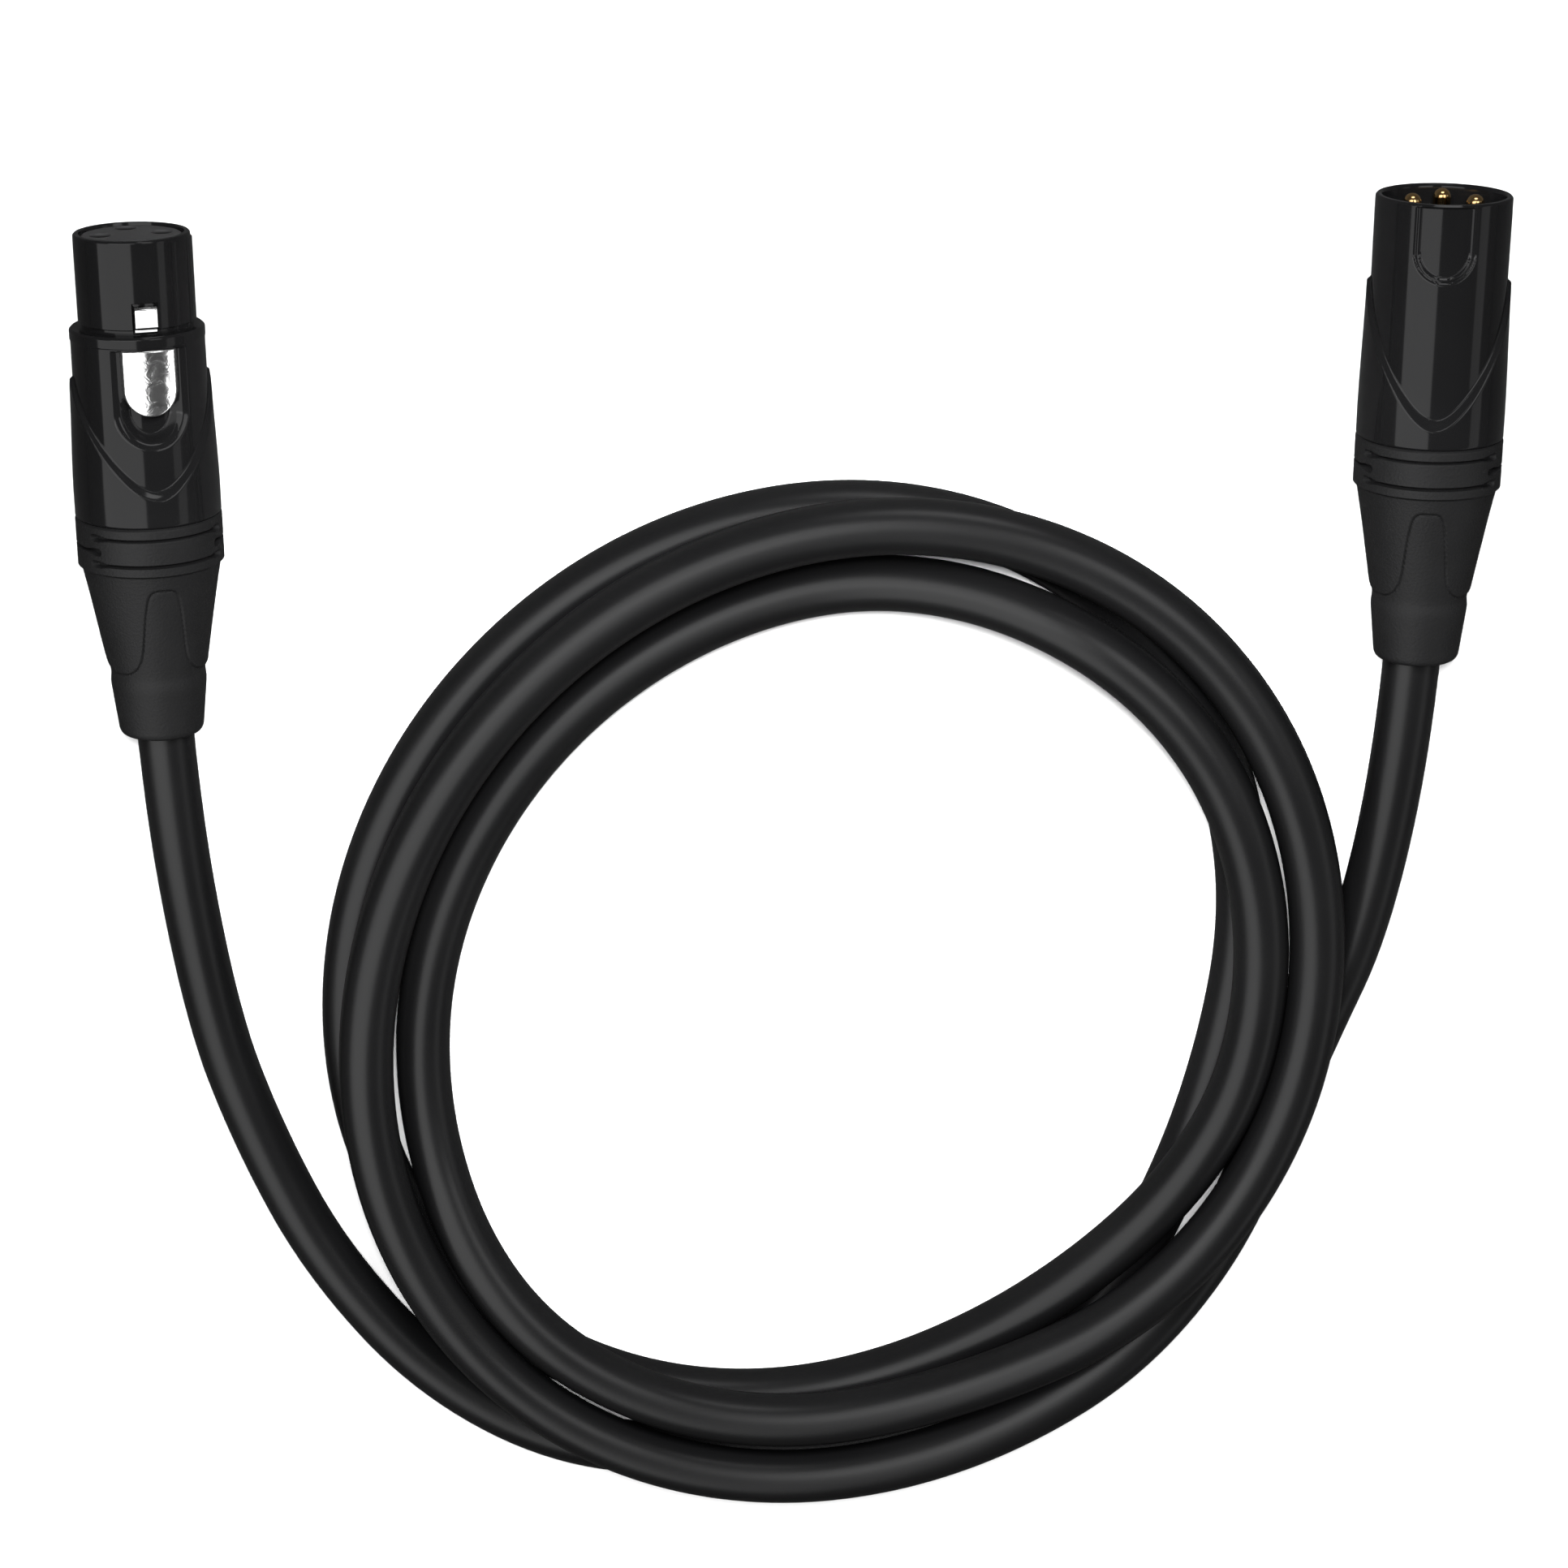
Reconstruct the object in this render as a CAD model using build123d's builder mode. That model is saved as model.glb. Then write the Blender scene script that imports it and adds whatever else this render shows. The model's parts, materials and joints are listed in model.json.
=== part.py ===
"""A microphone cable with a female and a male three-pole connector, lying coiled on a flat surface.

Millimetres. +Z is up, +Y is towards the connectors' front faces, and +X runs from the female
connector to the male one. The origin is on the surface, midway between the two connectors.
Each connector has its own plane: its origin is the centre of the front face, z runs back towards
the cable, and y points at the latch side. A profile is drawn as (depth, radius) on such a plane.
"""

import math
import os

from build123d import *

# The cable
cable_dia = 8.0
jacket_end_female = -3.0
jacket_end_male = 5.0
conductor_dia = 1.9
coil_height = 18.0
coil_outer = (6.3, -83.0, 82.6, 72.6, 57.0)  # centre x and y, half length, half width, lean in degrees
coil_inner = (6.3, -83.7, 64.9, 51.9, 58.0)

# The two connectors
connector_spacing = 177.7
female_front = 33.0
male_front = 38.1
boot_dia = 20.2
housing_dia = 20.0
female_lean = 19.5  # the latch side leans from straight up, towards the other connector
male_lean = -7.0

# The female shell
nose_dia = 15.8
nose_length = 12.5
nose_bore_dia = 13.9
hook_clear_depth = 8.0
collar_dia = 18.4
grip_dia = 18.6
female_length = 39.2
rear_bore_dia = 16.9
female_bore_widens = (27.2, 28.5)  # depths between which the bore opens to the rear one
groove_width = 0.4
window_width = 3.4
window_start, window_end = 8.4, 12.6
recess_width = 10.1
recess_end = 27.5
recess_floor = 6.7
well_end = 26.6
well_depth = 2.4
swoosh_start = 19.5
swoosh_end = 35.3

# The male shell
rim_dia = 18.4
cup_dia = 16.4
cup_depth = 15.0
male_length = 33.3
male_recess_width = 8.4
male_recess_end = 9.8
male_swoosh_start = 11.8
male_swoosh_end = 30.6
male_bore_widens = (23.0, 24.0)
panel_depth = 0.55
catch_place = 5.0
catch_length = 3.4

# Contacts
pin_dia = 2.4
pin_places = ((-4.2, -0.3), (4.2, -0.3), (0.0, -4.8))
contact_dia = 3.4
contact_bore_dia = 2.44
solder_cup_length = 5.0
solder_cup_bore = 2.2
socket_mouth = 1.5  # depth of the mouths in the female insert
contact_end = 20.5
female_insert_end = 21.5
male_insert_step = 19.5
male_insert_end = 21.0
pin_tip = 0.0
pin_root_dia = 3.0  # where the pin sits in its insert
pin_root_end = 18.5

# The latch
latch_pivot = (25.0, 6.2)  # depth and radius of the pivot
latch_pin_dia = 1.2
latch_pin_length = 10.0
tab_width = 7.4
tab_start, tab_end = 13.5, 23.3
hook_width = 3.1
spring_place = 17.5
spring_seat = 5.0
spring_height = 2.17
spring_gap = 0.04  # between the spring's foot and its seat
lever_dip = 0.45  # how far the relief in front of the spring goes below its seat
spring_wire_dia = 0.3
tab_top = 9.35
tab_base = 7.7

# The boot
boot_band = 7.0
boot_cone = 12.5
boot_sleeve_length = 12.4
spigot_length = 4.5
spigot_dia = 16.8
boot_bore_dia = 8.9
boot_mouth_dia = 10.2  # the sleeve's bore flares to this, so that the cable can bend in it
mouth_length = 9.0
band_slots = ((1.5, 0, 66), (3.5, 90, 44), (3.5, 270, 44), (5.3, 0, 66))  # row, middle, half span
petals = (60, 180, 300)

os.makedirs("parts", exist_ok=True)


def connector_plane(x, front, lean):
    """The plane of a connector whose latch side leans by so many degrees towards +X."""
    a = math.radians(lean)
    return Plane(
        origin=(x, front, boot_dia / 2),
        x_dir=(math.cos(a), 0, -math.sin(a)),
        z_dir=(0, -1, 0),
    )


def lengthwise(plane, turn=0.0):
    """The plane that holds the axis: its x is depth, its y is radius, turned about the axis."""
    a = math.radians(turn)
    outward = plane.y_dir * math.cos(a) + plane.x_dir * math.sin(a)
    return Plane(origin=plane.origin, x_dir=plane.z_dir, z_dir=plane.z_dir.cross(outward))


def axis_of(plane):
    """The connector's axis."""
    return Axis(plane.origin, plane.z_dir)


def seen_from_latch(plane):
    """The plane through the axis as seen from the latch side: x across, y back along the axis."""
    return Plane(origin=plane.origin, x_dir=plane.x_dir * -1, z_dir=plane.y_dir)


def finish(part, name):
    """Labels a part and writes it."""
    part.label = name
    export_step(part, f"parts/{name}.step")


def ring_profile(*corners):
    """A closed profile of (depth, radius) corners, added to the sketch that it is called in."""
    Polygon(*corners, align=None)


female = connector_plane(-connector_spacing / 2, female_front, female_lean)
male = connector_plane(connector_spacing / 2, male_front, male_lean)


# ---------------------------------------------------------------- shells

def skirt(plane, length, start, end):
    """The thicker rear of a housing, whose front edge is a U on two sides."""
    with BuildPart() as outer_skirt:
        with BuildSketch(lengthwise(plane)):
            ring_profile(
                (start, grip_dia / 2 - 0.5), (start, housing_dia / 2), (length - 0.8, boot_dia / 2),
                (length, boot_dia / 2 - 0.4), (length, grip_dia / 2 - 0.5),
            )
        revolve(axis=axis_of(plane))
        with BuildSketch(seen_from_latch(plane)):
            with Locations((0, start)):
                Ellipse(housing_dia / 2 + 0.3, end - start)
        extrude(amount=boot_dia, both=True, mode=Mode.SUBTRACT)
    return outer_skirt.part


with BuildPart() as female_shell:
    add(skirt(female, female_length, swoosh_start, swoosh_end))
    with BuildSketch(lengthwise(female)):
        ring_profile(
            (0, nose_bore_dia / 2), (0, nose_dia / 2 - 0.3), (0.3, nose_dia / 2),
            (hook_clear_depth, nose_dia / 2), (hook_clear_depth + 0.2, nose_dia / 2 - 0.1),
            (nose_length, nose_dia / 2 - 0.1), (nose_length, nose_dia / 2 - 0.5),
            (nose_length + groove_width, nose_dia / 2 - 0.5),
            (nose_length + groove_width, collar_dia / 2 - 0.5),
            (nose_length + 0.9, collar_dia / 2), (female_length, grip_dia / 2),
            (female_length, rear_bore_dia / 2), (female_bore_widens[1], rear_bore_dia / 2),
            (female_bore_widens[0], nose_bore_dia / 2),
        )
    revolve(axis=axis_of(female))
    with BuildSketch(seen_from_latch(female).offset(spring_seat)):  # the window that the hook stands in
        with Locations((0, (window_start + window_end) / 2)):
            Rectangle(window_width, window_end - window_start)
    extrude(amount=housing_dia, mode=Mode.SUBTRACT)
    with BuildSketch(seen_from_latch(female).offset(recess_floor)):  # the thumb recess
        with Locations((0, (nose_length + 0.9 + recess_end - recess_width / 2) / 2)):
            Rectangle(recess_width, recess_end - recess_width / 2 - nose_length - 0.9)
        with Locations((0, recess_end - recess_width / 2)):
            Circle(recess_width / 2)
    extrude(amount=housing_dia, mode=Mode.SUBTRACT)
    with BuildSketch(seen_from_latch(female).offset(spring_seat)):  # the well that the latch moves in
        with Locations((0, (nose_length + well_end) / 2)):
            Rectangle(tab_width + 0.5, well_end - nose_length - 0.9)
        with Locations((0, nose_length)):
            Rectangle(window_width, well_depth)
    extrude(amount=well_depth, mode=Mode.SUBTRACT)
    with BuildSketch(lengthwise(female)):  # the bore that holds the latch pin
        with Locations(latch_pivot):
            Circle(latch_pin_dia / 2)
    extrude(amount=latch_pin_length / 2, both=True, mode=Mode.SUBTRACT)
finish(female_shell.part, "female_shell")

with BuildPart() as male_shell:
    add(skirt(male, male_length, male_swoosh_start, male_swoosh_end))
    with BuildSketch(lengthwise(male)):
        ring_profile(
            (0, cup_dia / 2), (0, rim_dia / 2 - 0.25), (0.25, rim_dia / 2), (male_length, grip_dia / 2),
            (male_length, rear_bore_dia / 2), (male_bore_widens[1], rear_bore_dia / 2),
            (male_bore_widens[0], cup_dia / 2),
        )
    revolve(axis=axis_of(male))
    with BuildSketch(seen_from_latch(male).offset(rim_dia / 2 - panel_depth)):  # the U panel
        with Locations((0, (male_recess_end - male_recess_width / 2) / 2 - 1)):
            Rectangle(male_recess_width, male_recess_end - male_recess_width / 2 + 2)
        with Locations((0, male_recess_end - male_recess_width / 2)):
            Circle(male_recess_width / 2)
    extrude(amount=rim_dia, mode=Mode.SUBTRACT)
    with BuildSketch(seen_from_latch(male).offset(cup_dia / 2 - 1)):  # the catch that the hook drops into
        with Locations((0, catch_place)):
            Rectangle(window_width + 0.4, catch_length)
    extrude(amount=1.25, mode=Mode.SUBTRACT)
finish(male_shell.part, "male_shell")


# ---------------------------------------------------------------- inserts

with BuildPart() as female_insert:
    with BuildSketch(lengthwise(female)):
        ring_profile(
            (0.35, 0), (0.35, 6.6), (0.6, nose_bore_dia / 2), (female_insert_end, nose_bore_dia / 2),
            (female_insert_end, 0),
        )
    revolve(axis=axis_of(female))
    with BuildSketch(seen_from_latch(female).offset(spring_seat)):  # flat under the latch lever
        with Locations((0, 18.3)):
            Rectangle(nose_bore_dia + 1, 11.0)
        with Locations((0, 6.5)):
            Rectangle(window_width + 0.4, 13.0)
    extrude(amount=nose_dia, mode=Mode.SUBTRACT)
    with BuildSketch(seen_from_latch(female).offset(spring_seat - lever_dip)):  # room for the hook
        with Locations((0, 12.0)):
            Rectangle(window_width + 0.4, 9.0)
    extrude(amount=nose_dia, mode=Mode.SUBTRACT)
    with BuildSketch(female):  # socket mouths
        with Locations(*pin_places):
            Circle(1.5)
    extrude(amount=socket_mouth, mode=Mode.SUBTRACT)
    with BuildSketch(female.offset(socket_mouth)):  # seats of the contacts
        with Locations(*pin_places):
            Circle(contact_dia / 2)
    extrude(amount=22.0, mode=Mode.SUBTRACT)
finish(female_insert.part, "female_insert")

with BuildPart() as male_insert:
    with BuildSketch(lengthwise(male)):
        ring_profile(
            (cup_depth, 0), (cup_depth, 7.6), (cup_depth + 0.4, cup_dia / 2), (male_insert_step, cup_dia / 2),
            (male_insert_step, 6.8), (male_insert_end, 6.8), (male_insert_end, 0),
        )
    revolve(axis=axis_of(male))
    with BuildSketch(male.offset(cup_depth)):  # seats of the pins
        with Locations(*pin_places):
            Circle(pin_root_dia / 2)
    extrude(amount=10.0, mode=Mode.SUBTRACT)
    with BuildSketch(male.offset(pin_root_end)):  # wider seats of the solder cups
        with Locations(*pin_places):
            Circle(1.6)
    extrude(amount=5.0, mode=Mode.SUBTRACT)
finish(male_insert.part, "male_insert")


# ---------------------------------------------------------------- contacts

for number, place in enumerate(pin_places, start=1):
    spot = Plane(origin=female.from_local_coords(Vector(*place, 0)), x_dir=female.x_dir, z_dir=female.z_dir)
    with BuildPart() as contact:
        with BuildSketch(lengthwise(spot)):
            ring_profile(
                (socket_mouth, contact_bore_dia / 2), (socket_mouth, contact_dia / 2),
                (contact_end, contact_dia / 2), (contact_end, 1.5), (contact_end + solder_cup_length, 1.5),
                (contact_end + solder_cup_length, solder_cup_bore / 2),
                (contact_end + 1.5, solder_cup_bore / 2), (contact_end + 1.5, 0),
                (14.5, 0), (14.0, contact_bore_dia / 2),
            )
        revolve(axis=axis_of(spot))
        with BuildSketch(lengthwise(spot)):  # the saw cut that lets the contact grip
            with Locations((6.9, 0)):
                Rectangle(8.0, 0.3)
        extrude(amount=contact_dia, mode=Mode.SUBTRACT)
        with BuildSketch(seen_from_latch(spot)):  # the open side of the solder cup
            with Locations((0, contact_end + 1.4 + solder_cup_length / 2)):
                Rectangle(2.0, solder_cup_length - 1.5)
        extrude(amount=contact_dia, mode=Mode.SUBTRACT)
    finish(contact.part, f"female_contact_{number}")

for number, place in enumerate(pin_places, start=1):
    spot = Plane(origin=male.from_local_coords(Vector(*place, 0)), x_dir=male.x_dir, z_dir=male.z_dir)
    with BuildPart() as pin:
        with BuildSketch(lengthwise(spot)):
            with BuildLine():
                CenterArc((pin_tip + pin_dia / 2, 0), pin_dia / 2, start_angle=90, arc_size=90)
                Polyline(
                    (pin_tip + pin_dia / 2, pin_dia / 2), (cup_depth, pin_dia / 2),
                    (cup_depth, pin_root_dia / 2), (pin_root_end, pin_root_dia / 2),
                    (pin_root_end, 1.6), (pin_root_end + solder_cup_length, 1.6),
                    (pin_root_end + solder_cup_length, solder_cup_bore / 2),
                    (pin_root_end + 2.0, solder_cup_bore / 2), (pin_root_end + 2.0, 0), (pin_tip, 0),
                )
            make_face()
        revolve(axis=axis_of(spot))
        with BuildSketch(seen_from_latch(spot)):
            with Locations((0, pin_root_end + 2.5 + solder_cup_length / 2)):
                Rectangle(2.0, solder_cup_length - 1.5)
        extrude(amount=contact_dia, mode=Mode.SUBTRACT)
    finish(pin.part, f"male_pin_{number}")


# ---------------------------------------------------------------- shell ground contacts

def ground_contact(plane, depth, radius):
    """A bent strip that presses on the shell's bore and ends in a solder tag."""
    with BuildPart() as strip:
        with BuildSketch(lengthwise(plane, turn=130)):
            ring_profile(
                (depth, radius), (depth + 3.0, radius),
                (depth + 3.0, radius - 0.35), (depth + 0.35, radius - 0.35),
                (depth + 0.35, 6.2), (depth + 1.8, 6.2), (depth + 1.8, 5.85), (depth, 5.85),
            )
        extrude(amount=1.5, both=True)
    return strip.part


finish(ground_contact(female, 28.7, 8.2), "female_ground_contact")
finish(ground_contact(male, 21.2, 7.95), "male_ground_contact")


# ---------------------------------------------------------------- latch

with BuildPart() as latch_lever:
    with BuildSketch(lengthwise(female)):  # hook, arm and thumb tab seen from the side
        ring_profile(
            (8.7, 6.3), (8.7, 7.3), (9.3, 8.7), (11.9, 8.7), (12.1, 7.1), (13.6, 7.1), (13.6, 9.0),
            (14.2, tab_top), (tab_end, tab_top), (tab_end, 8.2), (24.0, 7.2), (25.8, 7.2), (26.2, 6.6),
            (26.0, 5.2), (23.6, 5.2), (22.6, tab_base), (15.2, tab_base), (14.4, 6.3),
        )
    extrude(amount=hook_width / 2, both=True)
    with BuildSketch(seen_from_latch(female).offset(tab_base)):  # the broad thumb tab
        with Locations((0, tab_start + 3.3)):
            Rectangle(tab_width, 6.0)
        with Locations((0, tab_end - tab_width / 2)):
            Circle(tab_width / 2)
    extrude(amount=tab_top - tab_base)
    with BuildSketch(lengthwise(female)):
        with Locations(latch_pivot):
            Circle(latch_pin_dia / 2 + 0.03)
    extrude(amount=hook_width, both=True, mode=Mode.SUBTRACT)
finish(latch_lever.part, "latch_lever")

with BuildPart() as latch_pin:
    with BuildSketch(lengthwise(female)):
        with Locations(latch_pivot):
            Circle(latch_pin_dia / 2)
    extrude(amount=latch_pin_length / 2, both=True)
finish(latch_pin.part, "latch_pin")

with BuildPart() as latch_spring:
    with BuildLine():
        coil_path = Helix(pitch=0.62, height=spring_height, radius=1.2)
    with BuildSketch(Plane(origin=coil_path @ 0, z_dir=coil_path % 0)):
        Circle(spring_wire_dia / 2)
    sweep(is_frenet=True)
foot_height = spring_seat + spring_wire_dia / 2 + spring_gap
spring_foot = female.from_local_coords(Vector(0, foot_height, spring_place))
upright = Plane(spring_foot, x_dir=female.x_dir, z_dir=female.y_dir)
finish(latch_spring.part.moved(upright.location), "latch_spring")


# ---------------------------------------------------------------- strain relief and boot

def chuck(plane, start):
    """The slit collet that grips the jacket when the boot is screwed home."""
    with BuildPart() as collet:
        with BuildSketch(lengthwise(plane)):
            ring_profile(
                (start - 4.0, 6.4), (start - 4.0, 7.6), (start - 1.0, 7.6), (start - 0.1, 5.3),
                (start + 7.5, 4.9),
                (start + 8.0, 4.5), (start + 8.0, cable_dia / 2 + 0.1), (start + 0.5, cable_dia / 2 + 0.1),
            )
        revolve(axis=axis_of(plane))
        for turn in (0, 60, 120):
            with BuildSketch(lengthwise(plane, turn=turn + 30)):
                with Locations((start + 5.5, 0)):
                    Rectangle(8.0, boot_dia)
            extrude(amount=0.3, both=True, mode=Mode.SUBTRACT)
    return collet.part


def boot_nut(plane, start):
    """The threaded nut: its spigot screws into the housing and its band carries the grip slots."""
    front = start - spigot_length
    rear = start + boot_band + boot_cone
    with BuildPart() as nut:
        with BuildSketch(lengthwise(plane)):
            ring_profile(
                (front, 7.2), (front + 0.5, spigot_dia / 2), (start, spigot_dia / 2),
                (start, boot_dia / 2 - 0.4), (start + 0.4, boot_dia / 2),
                (start + boot_band - 0.3, boot_dia / 2), (start + boot_band, boot_dia / 2 - 0.4),
                (start + boot_band, 7.4), (rear, 5.6), (rear, boot_bore_dia / 2),
                (start + 5.5, boot_bore_dia / 2),
                (start + 4.5, 5.6), (front, 6.2),
            )
        revolve(axis=axis_of(plane))
        for row, middle, half_span in band_slots:
            with BuildSketch(lengthwise(plane, turn=middle - half_span)):
                with Locations((start + row, boot_dia / 2)):
                    Rectangle(0.8, 1.0)
            revolve(axis=axis_of(plane), revolution_arc=-2 * half_span, mode=Mode.SUBTRACT)
    return nut.part


def boot_sleeve(plane, start):
    """The soft sleeve moulded over the nut's cone, with three raised petals on it."""
    cone = start + boot_band
    neck = cone + boot_cone
    end = neck + boot_sleeve_length
    with BuildPart() as sleeve:
        with BuildSketch(lengthwise(plane)):
            with BuildLine():
                Polyline(
                    (end - 0.7, 5.85), (neck, 6.9), (cone, 9.3), (cone, 7.4), (neck, 5.6),
                    (neck, boot_bore_dia / 2), (end - mouth_length, boot_bore_dia / 2),
                    (end, boot_mouth_dia / 2), (end, 5.3),
                )
                TangentArc((end, 5.3), (end - 0.7, 5.85), tangent=(-0.2, 1))
            make_face()
        revolve(axis=axis_of(plane))
        for turn in petals:
            with BuildSketch(lengthwise(plane, turn=turn - 42)):
                ring_profile((cone, 9.0), (cone, 9.6), (cone + 6.5, 8.35), (cone + 6.5, 7.6))
            revolve(axis=axis_of(plane), revolution_arc=-84)
            with BuildSketch(lengthwise(plane, turn=turn - 22)):
                ring_profile((cone + 6.5, 7.6), (cone + 6.5, 8.35), (cone + 10.5, 7.5), (cone + 10.5, 6.9))
            revolve(axis=axis_of(plane), revolution_arc=-44)
    return sleeve.part


finish(chuck(female, female_length - spigot_length), "female_chuck")
finish(chuck(male, male_length - spigot_length), "male_chuck")
finish(boot_nut(female, female_length), "female_boot_nut")
finish(boot_nut(male, male_length), "male_boot_nut")
finish(boot_sleeve(female, female_length), "female_boot_sleeve")
finish(boot_sleeve(male, male_length), "male_boot_sleeve")


# ---------------------------------------------------------------- cable

def tube(points, diameter):
    """A round tube of straight runs joined by arcs as large as the runs allow."""
    corners = [Vector(*p) for p in points]
    radii = []
    for before, corner, after in zip(corners, corners[1:], corners[2:]):
        turn = math.radians((corner - before).get_angle(after - corner))
        shorter = min((corner - before).length, (after - corner).length)
        radii.append(0.45 * shorter / math.tan(turn / 2))
    with BuildPart() as cord:
        with BuildLine():
            path = FilletPolyline(*corners, radius=radii)
        with BuildSketch(Plane(origin=path @ 0, z_dir=path % 0)):
            Circle(diameter / 2)
        sweep()
    section = math.pi * diameter**2 / 4
    print("arc radii", [round(r, 1) for r in radii], "length", round(path.length, 1))
    print("volume over section times length", round(cord.part.volume / (section * path.length), 4))
    return cord.part


female_x = -connector_spacing / 2
male_x = connector_spacing / 2
axis_height = boot_dia / 2
floor_height = cable_dia / 2

female_tail = [
    (female_x, jacket_end_female, axis_height),
    (female_x, -43.0, axis_height),
    (-85.4, -83.5, 5.0),
    (-79.2, -105.0, floor_height),
    (-70.0, -125.5, floor_height),
    (-54.5, -145.2, floor_height),
    (-35.5, -155.8, floor_height),
]
male_tail = [
    (77.8, -89.0, floor_height),
    (85.3, -69.2, 4.5),
    (male_x, -32.0, axis_height),
    (male_x, jacket_end_male, axis_height),
]
finish(tube(female_tail, cable_dia), "cable_female_tail")
finish(tube(male_tail, cable_dia), "cable_male_tail")

with BuildPart() as cable_coil:
    with BuildSketch():
        with Locations(coil_outer[:2]):
            Ellipse(*coil_outer[2:4], rotation=coil_outer[4])
        with Locations(coil_inner[:2]):
            Ellipse(*coil_inner[2:4], rotation=coil_inner[4], mode=Mode.SUBTRACT)
    extrude(amount=coil_height)
    chamfer(cable_coil.edges().group_by(Axis.Z)[-1], length=3.0)
finish(cable_coil.part, "cable_coil")


def wire(plane, place, cup_end, jacket_end, offset):
    """One insulated conductor from a solder cup back to the end of the jacket."""
    start = plane.from_local_coords(Vector(*place, cup_end))
    first = plane.from_local_coords(Vector(*place, cup_end + 3.0))
    last = plane.from_local_coords(Vector(*offset, jacket_end - 3.0))
    end = plane.from_local_coords(Vector(*offset, jacket_end))
    with BuildPart() as conductor:
        with BuildLine() as route:
            Bezier(start, first, last, end)
        with BuildSketch(Plane(origin=start, z_dir=plane.z_dir)):
            Circle(conductor_dia / 2)
        sweep()
    return conductor.part


lay = ((-1.15, 0.75), (1.15, 0.75), (0.0, -1.3))
female_jacket = female_front - jacket_end_female
male_jacket = male_front - jacket_end_male
for name, place, offset in zip(("shield", "hot", "cold"), pin_places, lay):
    finish(wire(female, place, contact_end + solder_cup_length, female_jacket, offset), f"female_wire_{name}")
    finish(wire(male, place, pin_root_end + solder_cup_length, male_jacket, offset), f"male_wire_{name}")
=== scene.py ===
import json
import math

import bmesh
import bpy
import numpy as np
from mathutils import Matrix, Vector


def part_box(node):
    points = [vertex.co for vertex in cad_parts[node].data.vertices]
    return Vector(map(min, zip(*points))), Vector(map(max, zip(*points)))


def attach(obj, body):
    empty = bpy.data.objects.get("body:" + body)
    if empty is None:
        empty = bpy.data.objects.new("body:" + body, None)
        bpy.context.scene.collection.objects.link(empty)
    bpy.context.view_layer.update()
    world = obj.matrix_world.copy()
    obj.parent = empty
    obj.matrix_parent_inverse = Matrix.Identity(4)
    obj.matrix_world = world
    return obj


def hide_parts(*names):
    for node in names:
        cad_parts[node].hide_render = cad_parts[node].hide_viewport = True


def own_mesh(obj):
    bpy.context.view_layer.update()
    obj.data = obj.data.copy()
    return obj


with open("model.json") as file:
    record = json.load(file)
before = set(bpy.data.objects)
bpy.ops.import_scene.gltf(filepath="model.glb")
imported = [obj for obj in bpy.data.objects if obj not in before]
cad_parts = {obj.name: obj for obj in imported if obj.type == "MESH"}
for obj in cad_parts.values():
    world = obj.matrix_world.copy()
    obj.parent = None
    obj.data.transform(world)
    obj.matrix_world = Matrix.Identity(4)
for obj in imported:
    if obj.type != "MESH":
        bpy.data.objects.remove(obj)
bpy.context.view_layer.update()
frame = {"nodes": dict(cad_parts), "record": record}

scene = bpy.context.scene
mm = 0.001


# camera and stage

view = {
    "target": (-0.35 * mm, -49.95 * mm, 0.0),
    "distance": 507 * mm,
    "tilt": math.radians(19.4),  # leans from straight above towards the connectors' faces
    "lens": 79.6,
}


def makeCamera():
    away = Vector((0, math.sin(view["tilt"]), math.cos(view["tilt"])))
    up = Vector((0, math.cos(view["tilt"]), -math.sin(view["tilt"])))
    right = up.cross(away)
    data = bpy.data.cameras.new("camera")
    data.lens = view["lens"]
    data.sensor_width = 36
    data.clip_start = 0.02
    camera = bpy.data.objects.new("camera", data)
    scene.collection.objects.link(camera)
    place = Matrix((right, up, away)).transposed().to_4x4()
    place.translation = Vector(view["target"]) + away * view["distance"]
    camera.matrix_world = place
    scene.camera = camera


makeCamera()
print("camera set")


# the cable: one cord from the socket connector, three turns, up to the pin connector

cable = {
    "diameter": 8 * mm,
    "length": 1.68,
    "pointsPerTurn": 24,
    "smoothness": 10,  # divisions round and along the drawn cable
    "firstAngle": -105,  # degrees round the coil, anticlockwise, where the turns begin
    "lastAngle": 1058,
    "swapStart": -78,  # between these angles every strand moves one place on in the bundle
    "swapEnd": -12,
    "middle": (7 * mm, -81 * mm),
    "floor": 4.0 * mm,
    "top": 12.1 * mm,
    # the inner strand comes down to the floor and goes up again, each as a start and a span in degrees
    "down": (48, 44),
    "up": (178, 44),
    "upFrom": 330,
    # centre x and y, half width, half height, lean
    "places": {
        "under": (7.65 * mm, -82.95 * mm, 69.35 * mm, 75.25 * mm, 0.12),
        "back": (1.13 * mm, -77.97 * mm, 65.97 * mm, 70.68 * mm, 0.12),
        "inner": (7.4 * mm, -83.15 * mm, 61.5 * mm, 65.25 * mm, 0.13),
        "outer": (7.65 * mm, -82.95 * mm, 69.35 * mm, 75.25 * mm, 0.12),
    },
    "order": ("under", "back", "inner", "outer", "under"),
    # how far a strand swings out and up half way through each move
    "swing": ((0, 0), (-1.7 * mm, 1.7 * mm), (0, 3.4 * mm), (1.7 * mm, 1.7 * mm)),
    "femaleTail": (
        (-0.08885, -0.0140, 0.0101), (-0.08885, -0.0430, 0.0101), (-0.0854, -0.0835, 0.0050),
        (-0.0792, -0.1050, 0.0040), (-0.0700, -0.1255, 0.0040), (-0.0545, -0.1452, 0.0040),
        (-0.0335, -0.1574, 0.0040),
    ),
    "maleTail": (
        (0.0778, -0.0890, 0.0040), (0.0853, -0.0692, 0.0045), (0.08885, -0.0320, 0.0101),
        (0.08885, -0.0030, 0.0101),
    ),
}


def smooth(x):
    x = min(1.0, max(0.0, x))
    return x * x * (3 - 2 * x)


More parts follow.
